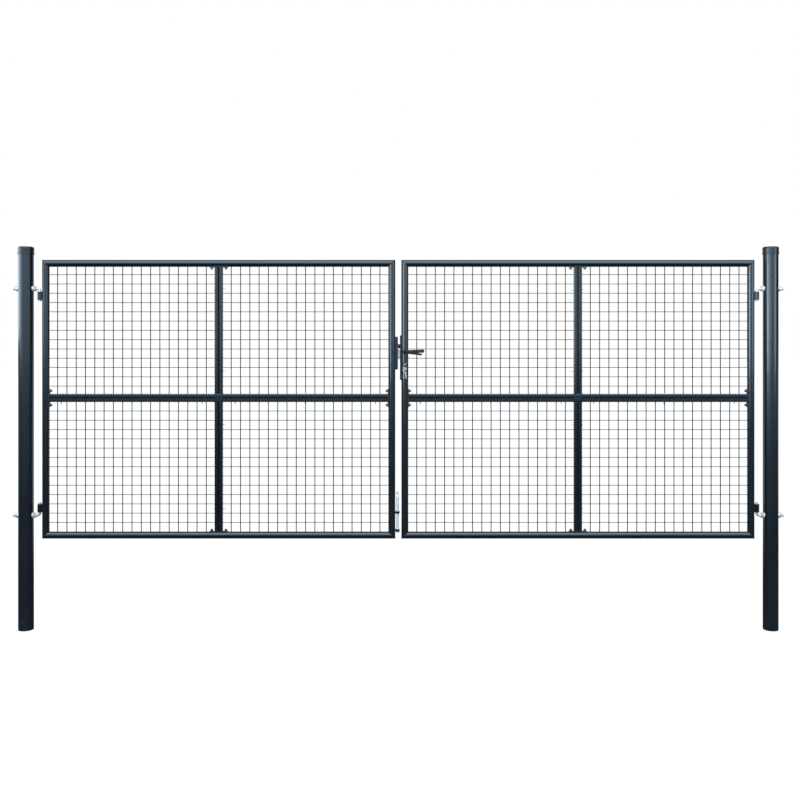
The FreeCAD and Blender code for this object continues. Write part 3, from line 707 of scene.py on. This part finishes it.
bolt_nickel = nickel_plate("lock_bolt_nickel", (0.66, 0.66, 0.68), (0.52, 0.52, 0.54), 0.34, (1.0, 0.1, 1.0))
dress(["lock_faceplate", "latch_bolt"], black_coat)
dress(["dead_bolt"], bolt_nickel)
right_stile_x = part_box("right_meeting_stile")[0].x + tube_radius
face_inset = 0.006
face_middle = 0.105
face_low, face_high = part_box("lock_faceplate")
face_stitches = [
    face_low.z + face_inset, face_low.z + face_middle, face_high.z - face_inset - stitch_length,
]
weld("faceplate_welds", "right_leaf", stitches(
    right_stile_x, -1, strip_half, face_stitches, stitch_length), strip_bead, 11)


# Faceplate screws: two raised countersunk screws with socket heads, nickel
# plated, that pull the lock's edge plate against its case.
def built_piece(name, points, faces, material):
    """A piece from its points and faces, in one finish."""
    mesh = bpy.data.meshes.new(name)
    mesh.from_pydata(points, [], faces)
    mesh.materials.append(material)
    piece = bpy.data.objects.new(name, mesh)
    bpy.context.scene.collection.objects.link(piece)
    return piece


head_profile = ((0.0019, 0.0004), (0.0019, 0.0008), (0.0032, 0.0007), (0.0044, 0.0003), (0.0046, -0.0004))
head_steps = 24
head_inset = 0.012
rings = len(head_profile)
points = []
faces = []
for z in (face_low.z + head_inset, face_high.z - head_inset):
    first = len(points)
    for step in range(head_steps):
        angle = math.tau * step / head_steps
        for radius, rise in head_profile:
            points.append((face_low.x - rise, radius * math.cos(angle), z + radius * math.sin(angle)))
    for step in range(head_steps):
        near = first + step * rings
        far = first + (step + 1) % head_steps * rings
        faces += [(near + row, near + row + 1, far + row + 1, far + row) for row in range(rings - 1)]
screw_heads = built_piece("faceplate_screws", points, faces, bolt_nickel)
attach(screw_heads, "right_leaf")


# Levers: a pair of handles moulded in black plastic on one square steel
# spindle, with round roses against the stile. The rear one has a paler, rougher
# copy of the plastic, a painted sheen for the grey haze of reflection on it.
def moulding(name, dark, pale, roughness, gloss):
    """Black moulded plastic with a fine spark-eroded skin."""
    plastic = Finish(name, IOR=1.48, Specular_IOR_Level=gloss)
    cloud = plastic.noise(30.0, 3.0)
    plastic.lay("Base Color", plastic.blend(cloud, dark, pale))
    plastic.lay("Roughness", roughness + cloud * 0.16)
    plastic.relief(plastic.noise(1300.0), 0.00012)
    return plastic.material


lever_plastic = moulding("lever_plastic", (0.0030, 0.0030, 0.0035), (0.0060, 0.0060, 0.0070), 0.20, 0.40)
# The rear lever's paler grey base colour is painted sheen: it stands for the haze of reflection on that
# lever, not for a paler plastic.
sheen_painted_plastic = moulding("rear_lever_plastic", (0.0200, 0.0200, 0.0205), (0.0350, 0.0350, 0.0360), 0.36, 0.55)
dress(["front_lever", "lever_roses"], lever_plastic)
dress(["rear_lever"], sheen_painted_plastic)
dress(["lever_spindle"], bolt_nickel)


# Lock cylinder and keys: a darkly plated profile cylinder through the stile,
# the key in it and two spares on a steel ring. The keys are nickel plated, with
# round bows, milled grooves and cut blades.
cylinder_nickel = nickel_plate(
    "cylinder_nickel", (0.11, 0.11, 0.12), (0.07, 0.07, 0.08), 0.30, (0.1, 1.0, 0.1))
key_nickel = nickel_plate("key_nickel", (0.97, 0.96, 0.94), (0.84, 0.84, 0.83), 0.22, (1.0, 0.15, 1.0))
ring_steel = nickel_plate("ring_steel", (0.20, 0.20, 0.21), (0.12, 0.12, 0.13), 0.26, (1.0, 1.0, 1.0))
dress(["lock_cylinder"], cylinder_nickel)
dress(["key_ring"], ring_steel)
dress(["key", "spare_key", "second_spare_key"], key_nickel)
half_thick = 0.0012
groove_half = 0.0007
bow_radius = 0.012
bow_hole = 0.004
edge = 0.0004
bow_profile = (
    (bow_hole, -half_thick + edge), (bow_hole + edge, -half_thick), (bow_radius - edge, -half_thick),
    (bow_radius, -half_thick + edge), (bow_radius, half_thick - edge), (bow_radius - edge, half_thick),
    (bow_hole + edge, half_thick), (bow_hole, half_thick - edge),
)
bow_steps = 40
blade_heights = (
    (0.0105, 4.0), (0.0215, 4.0), (0.0225, 3.4), (0.0250, 3.4), (0.0262, 1.6), (0.0274, 1.6), (0.0288, 3.0),
    (0.0300, 3.0), (0.0314, 0.9), (0.0326, 0.9), (0.0340, 2.4), (0.0352, 2.4), (0.0364, 1.3), (0.0376, 1.3),
    (0.0392, 3.2), (0.0404, 3.2), (0.0416, 1.9), (0.0428, 1.9), (0.0444, 3.4), (0.0470, 3.0), (0.0499, -1.5),
)


def cut_key(name, placed):
    """Key with a round bow, a milled groove along both sides and a cut edge."""
    points = []
    faces = []
    for step in range(bow_steps):
        angle = math.tau * step / bow_steps
        points += [(x, radius * math.cos(angle), radius * math.sin(angle)) for radius, x in bow_profile]
    rings = len(bow_profile)
    for step in range(bow_steps):
        near = step * rings
        far = (step + 1) % bow_steps * rings
        faces += [
            (near + row, far + row, far + (row + 1) % rings, near + (row + 1) % rings) for row in range(rings)
        ]
    start = len(points)
    for run, millimetres in blade_heights:
        top = millimetres / 1000
        flank = [
            (half_thick, -0.0040), (half_thick, -0.0024), (groove_half, -0.0020),
            (groove_half, min(-0.0009, top - 0.0001)), (half_thick, min(-0.0005, top)), (half_thick, top),
        ]
        outline = flank + [(-x, z) for x, z in reversed(flank)]
        points += [(x, run, z) for x, z in outline]
    count = len(outline)
    for row in range(len(blade_heights) - 1):
        near = start + row * count
        faces += [
            (near + spot, near + (spot + 1) % count, near + count + (spot + 1) % count, near + count + spot)
            for spot in range(count)
        ]
    faces.append(tuple(range(start + count - 1, start - 1, -1)))
    faces.append(tuple(range(len(points) - count, len(points))))
    return built_piece(name, [placed @ Vector(spot) for spot in points], faces, key_nickel)


key_turn = math.radians(40)
spare_turn = math.radians(35)
spare_swing = math.radians(4)
spare_spread = math.radians(14)
spare_drop = 0.013
key_low, key_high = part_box("key")
bow_place = Vector(((key_low.x + key_high.x) / 2, key_low.y + bow_radius, (key_low.z + key_high.z) / 2))
ring_low, ring_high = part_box("key_ring")
ring_place = (ring_low + ring_high) / 2
placings = [("cut_key", "key", Matrix.Translation(bow_place) @ Matrix.Rotation(key_turn, 4, "Y"))]
spares = (("cut_spare_key", "spare_key", -1), ("second_cut_spare_key", "second_spare_key", 1))
for name, node_name, way in spares:
    angle = way * spare_spread
    hang = ring_place - Vector((math.sin(angle), 0.0, math.cos(angle))) * spare_drop
    turned_key = (
        Matrix.Rotation(way * spare_swing, 4, "Y") @ Matrix.Rotation(spare_turn, 4, "Z")
        @ Matrix.Rotation(math.radians(-90), 4, "X")
    )
    placings.append((name, node_name, Matrix.Translation(hang) @ turned_key))
for name, node_name, placed in placings:
    piece = cut_key(name, placed)
    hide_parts(node_name)
    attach(piece, "right_leaf")


# Floor, daylight and camera: a plain white floor, a soft sky that is bright in
# front and behind and dim at the sides and below, five soft panels, and the
# view of the picture.
floor_half = 60.0
floor_corners = [(x * floor_half, y * floor_half, 0.0) for x, y in ((-1, -1), (1, -1), (1, 1), (-1, 1))]
floor_paint = bpy.data.materials.new("floor_white")
floor_paint.use_nodes = True
tree = floor_paint.node_tree
tree.nodes.clear()
ray = tree.nodes.new("ShaderNodeLightPath")
camera_ray = Link(tree, ray.outputs["Is Camera Ray"])
glossy_ray = Link(tree, ray.outputs["Is Glossy Ray"])
glow = node(tree, "ShaderNodeEmission", {}, {"Color": (1.0, 1.0, 1.0, 1.0), "Strength": 1.05})
paint = node(tree, "ShaderNodeMix", {"data_type": "RGBA"}, {
    0: camera_ray, 6: (0.06, 0.06, 0.06, 1.0), 7: (0.85, 0.85, 0.85, 1.0),
}, 2)
matt = node(tree, "ShaderNodeBsdfDiffuse", {}, {"Color": paint})
spot = node(tree, "ShaderNodeTexCoord", {}, {}, "Object")
behind = node(tree, "ShaderNodeSeparateXYZ", {}, {"Vector": spot}, "Y").ease(1.0, 3.0)
share = camera_ray * 0.9 + glossy_ray * (0.01 + behind * 0.6)
surface = node(tree, "ShaderNodeMixShader", {}, {0: share, 1: matt, 2: glow})
output = tree.nodes.new("ShaderNodeOutputMaterial")
tree.links.new(surface.socket, output.inputs["Surface"])
floor = built_piece("floor", floor_corners, [(0, 1, 2, 3)], floor_paint)

world = bpy.data.worlds.new("daylight")
bpy.context.scene.world = world
world.use_nodes = True
tree = world.node_tree
tree.nodes.clear()
way = node(tree, "ShaderNodeTexCoord", {}, {}, "Generated")
split = tree.nodes.new("ShaderNodeSeparateXYZ")
tree.links.new(way.socket, split.inputs[0])
back, up = (Link(tree, split.outputs[axis]) for axis in ("Y", "Z"))
front = 1.0 - back.ease(-0.42, -0.14)
above = up.ease(-0.065, 0.01)
overhead = (up * 0.80 + back * -0.60).ease(0.72, 0.93)
rear = back.ease(0.55, 0.92)
sky = (front * 1.25 + rear * 0.9) * above + overhead * 1.6 + up.ease(0.6, 0.98) * 0.6 + 0.01
ray = tree.nodes.new("ShaderNodeLightPath")
seen = Link(tree, ray.outputs["Is Camera Ray"]) + Link(tree, ray.outputs["Is Transmission Ray"])
light = node(tree, "ShaderNodeBackground", {}, {"Color": (0.78, 0.91, 1.0, 1.0), "Strength": sky})
white = node(tree, "ShaderNodeBackground", {}, {"Color": (1.0, 1.0, 1.0, 1.0), "Strength": 1.0})
surface = node(tree, "ShaderNodeMixShader", {}, {0: seen, 1: light, 2: white})
output = tree.nodes.new("ShaderNodeOutputWorld")
tree.links.new(surface.socket, output.inputs["Surface"])


def soft_panel(name, place, aim, width, height, power, spread=180):
    """Rectangular soft light turned towards a point."""
    lamp = bpy.data.lights.new(name, "AREA")
    lamp.shape = "RECTANGLE"
    lamp.size = width
    lamp.size_y = height
    lamp.energy = power
    lamp.color = (0.84, 0.94, 1.0)
    lamp.spread = math.radians(spread)
    panel = bpy.data.objects.new(name, lamp)
    panel.location = place
    panel.rotation_euler = (Vector(aim) - Vector(place)).to_track_quat("-Z", "Y").to_euler()
    panel.visible_camera = False
    bpy.context.scene.collection.objects.link(panel)


soft_panel("left_panel", (-1.28, 0.2, 2.07), (0.0, 0.0, 2.03), width=1.25, height=1.0, power=15.0)
soft_panel("left_fill", (-1.35, -0.82, 2.0), (0.0, 0.0, 1.96), width=1.0, height=1.1, power=4.5)
soft_panel("key_panel", (0.2, -2.02, 1.95), (4.0, 0.0, 1.9), width=1.1, height=1.35, power=7.5, spread=80)
soft_panel("wing_panel", (2.2, -3.2, 1.87), (4.6, 0.0, 1.87), width=3.5, height=1.2, power=3.0, spread=60)
soft_panel("right_panel", (6.3, -2.0, 1.87), (4.1, 0.0, 1.87), width=1.6, height=1.15, power=1.5, spread=60)

view_place = 2.013
view_distance = 5.06
view_height = 1.53
eye = bpy.data.cameras.new("picture_view")
eye.sensor_width = 36.0
eye.lens = 42.3
eye.shift_y = -0.0688
camera = bpy.data.objects.new("picture_view", eye)
camera.location = (view_place, -view_distance, view_height)
camera.rotation_euler = (math.radians(90), 0.0, 0.0)
bpy.context.scene.collection.objects.link(camera)
bpy.context.scene.camera = camera
bpy.context.scene.view_settings.view_transform = "Standard"
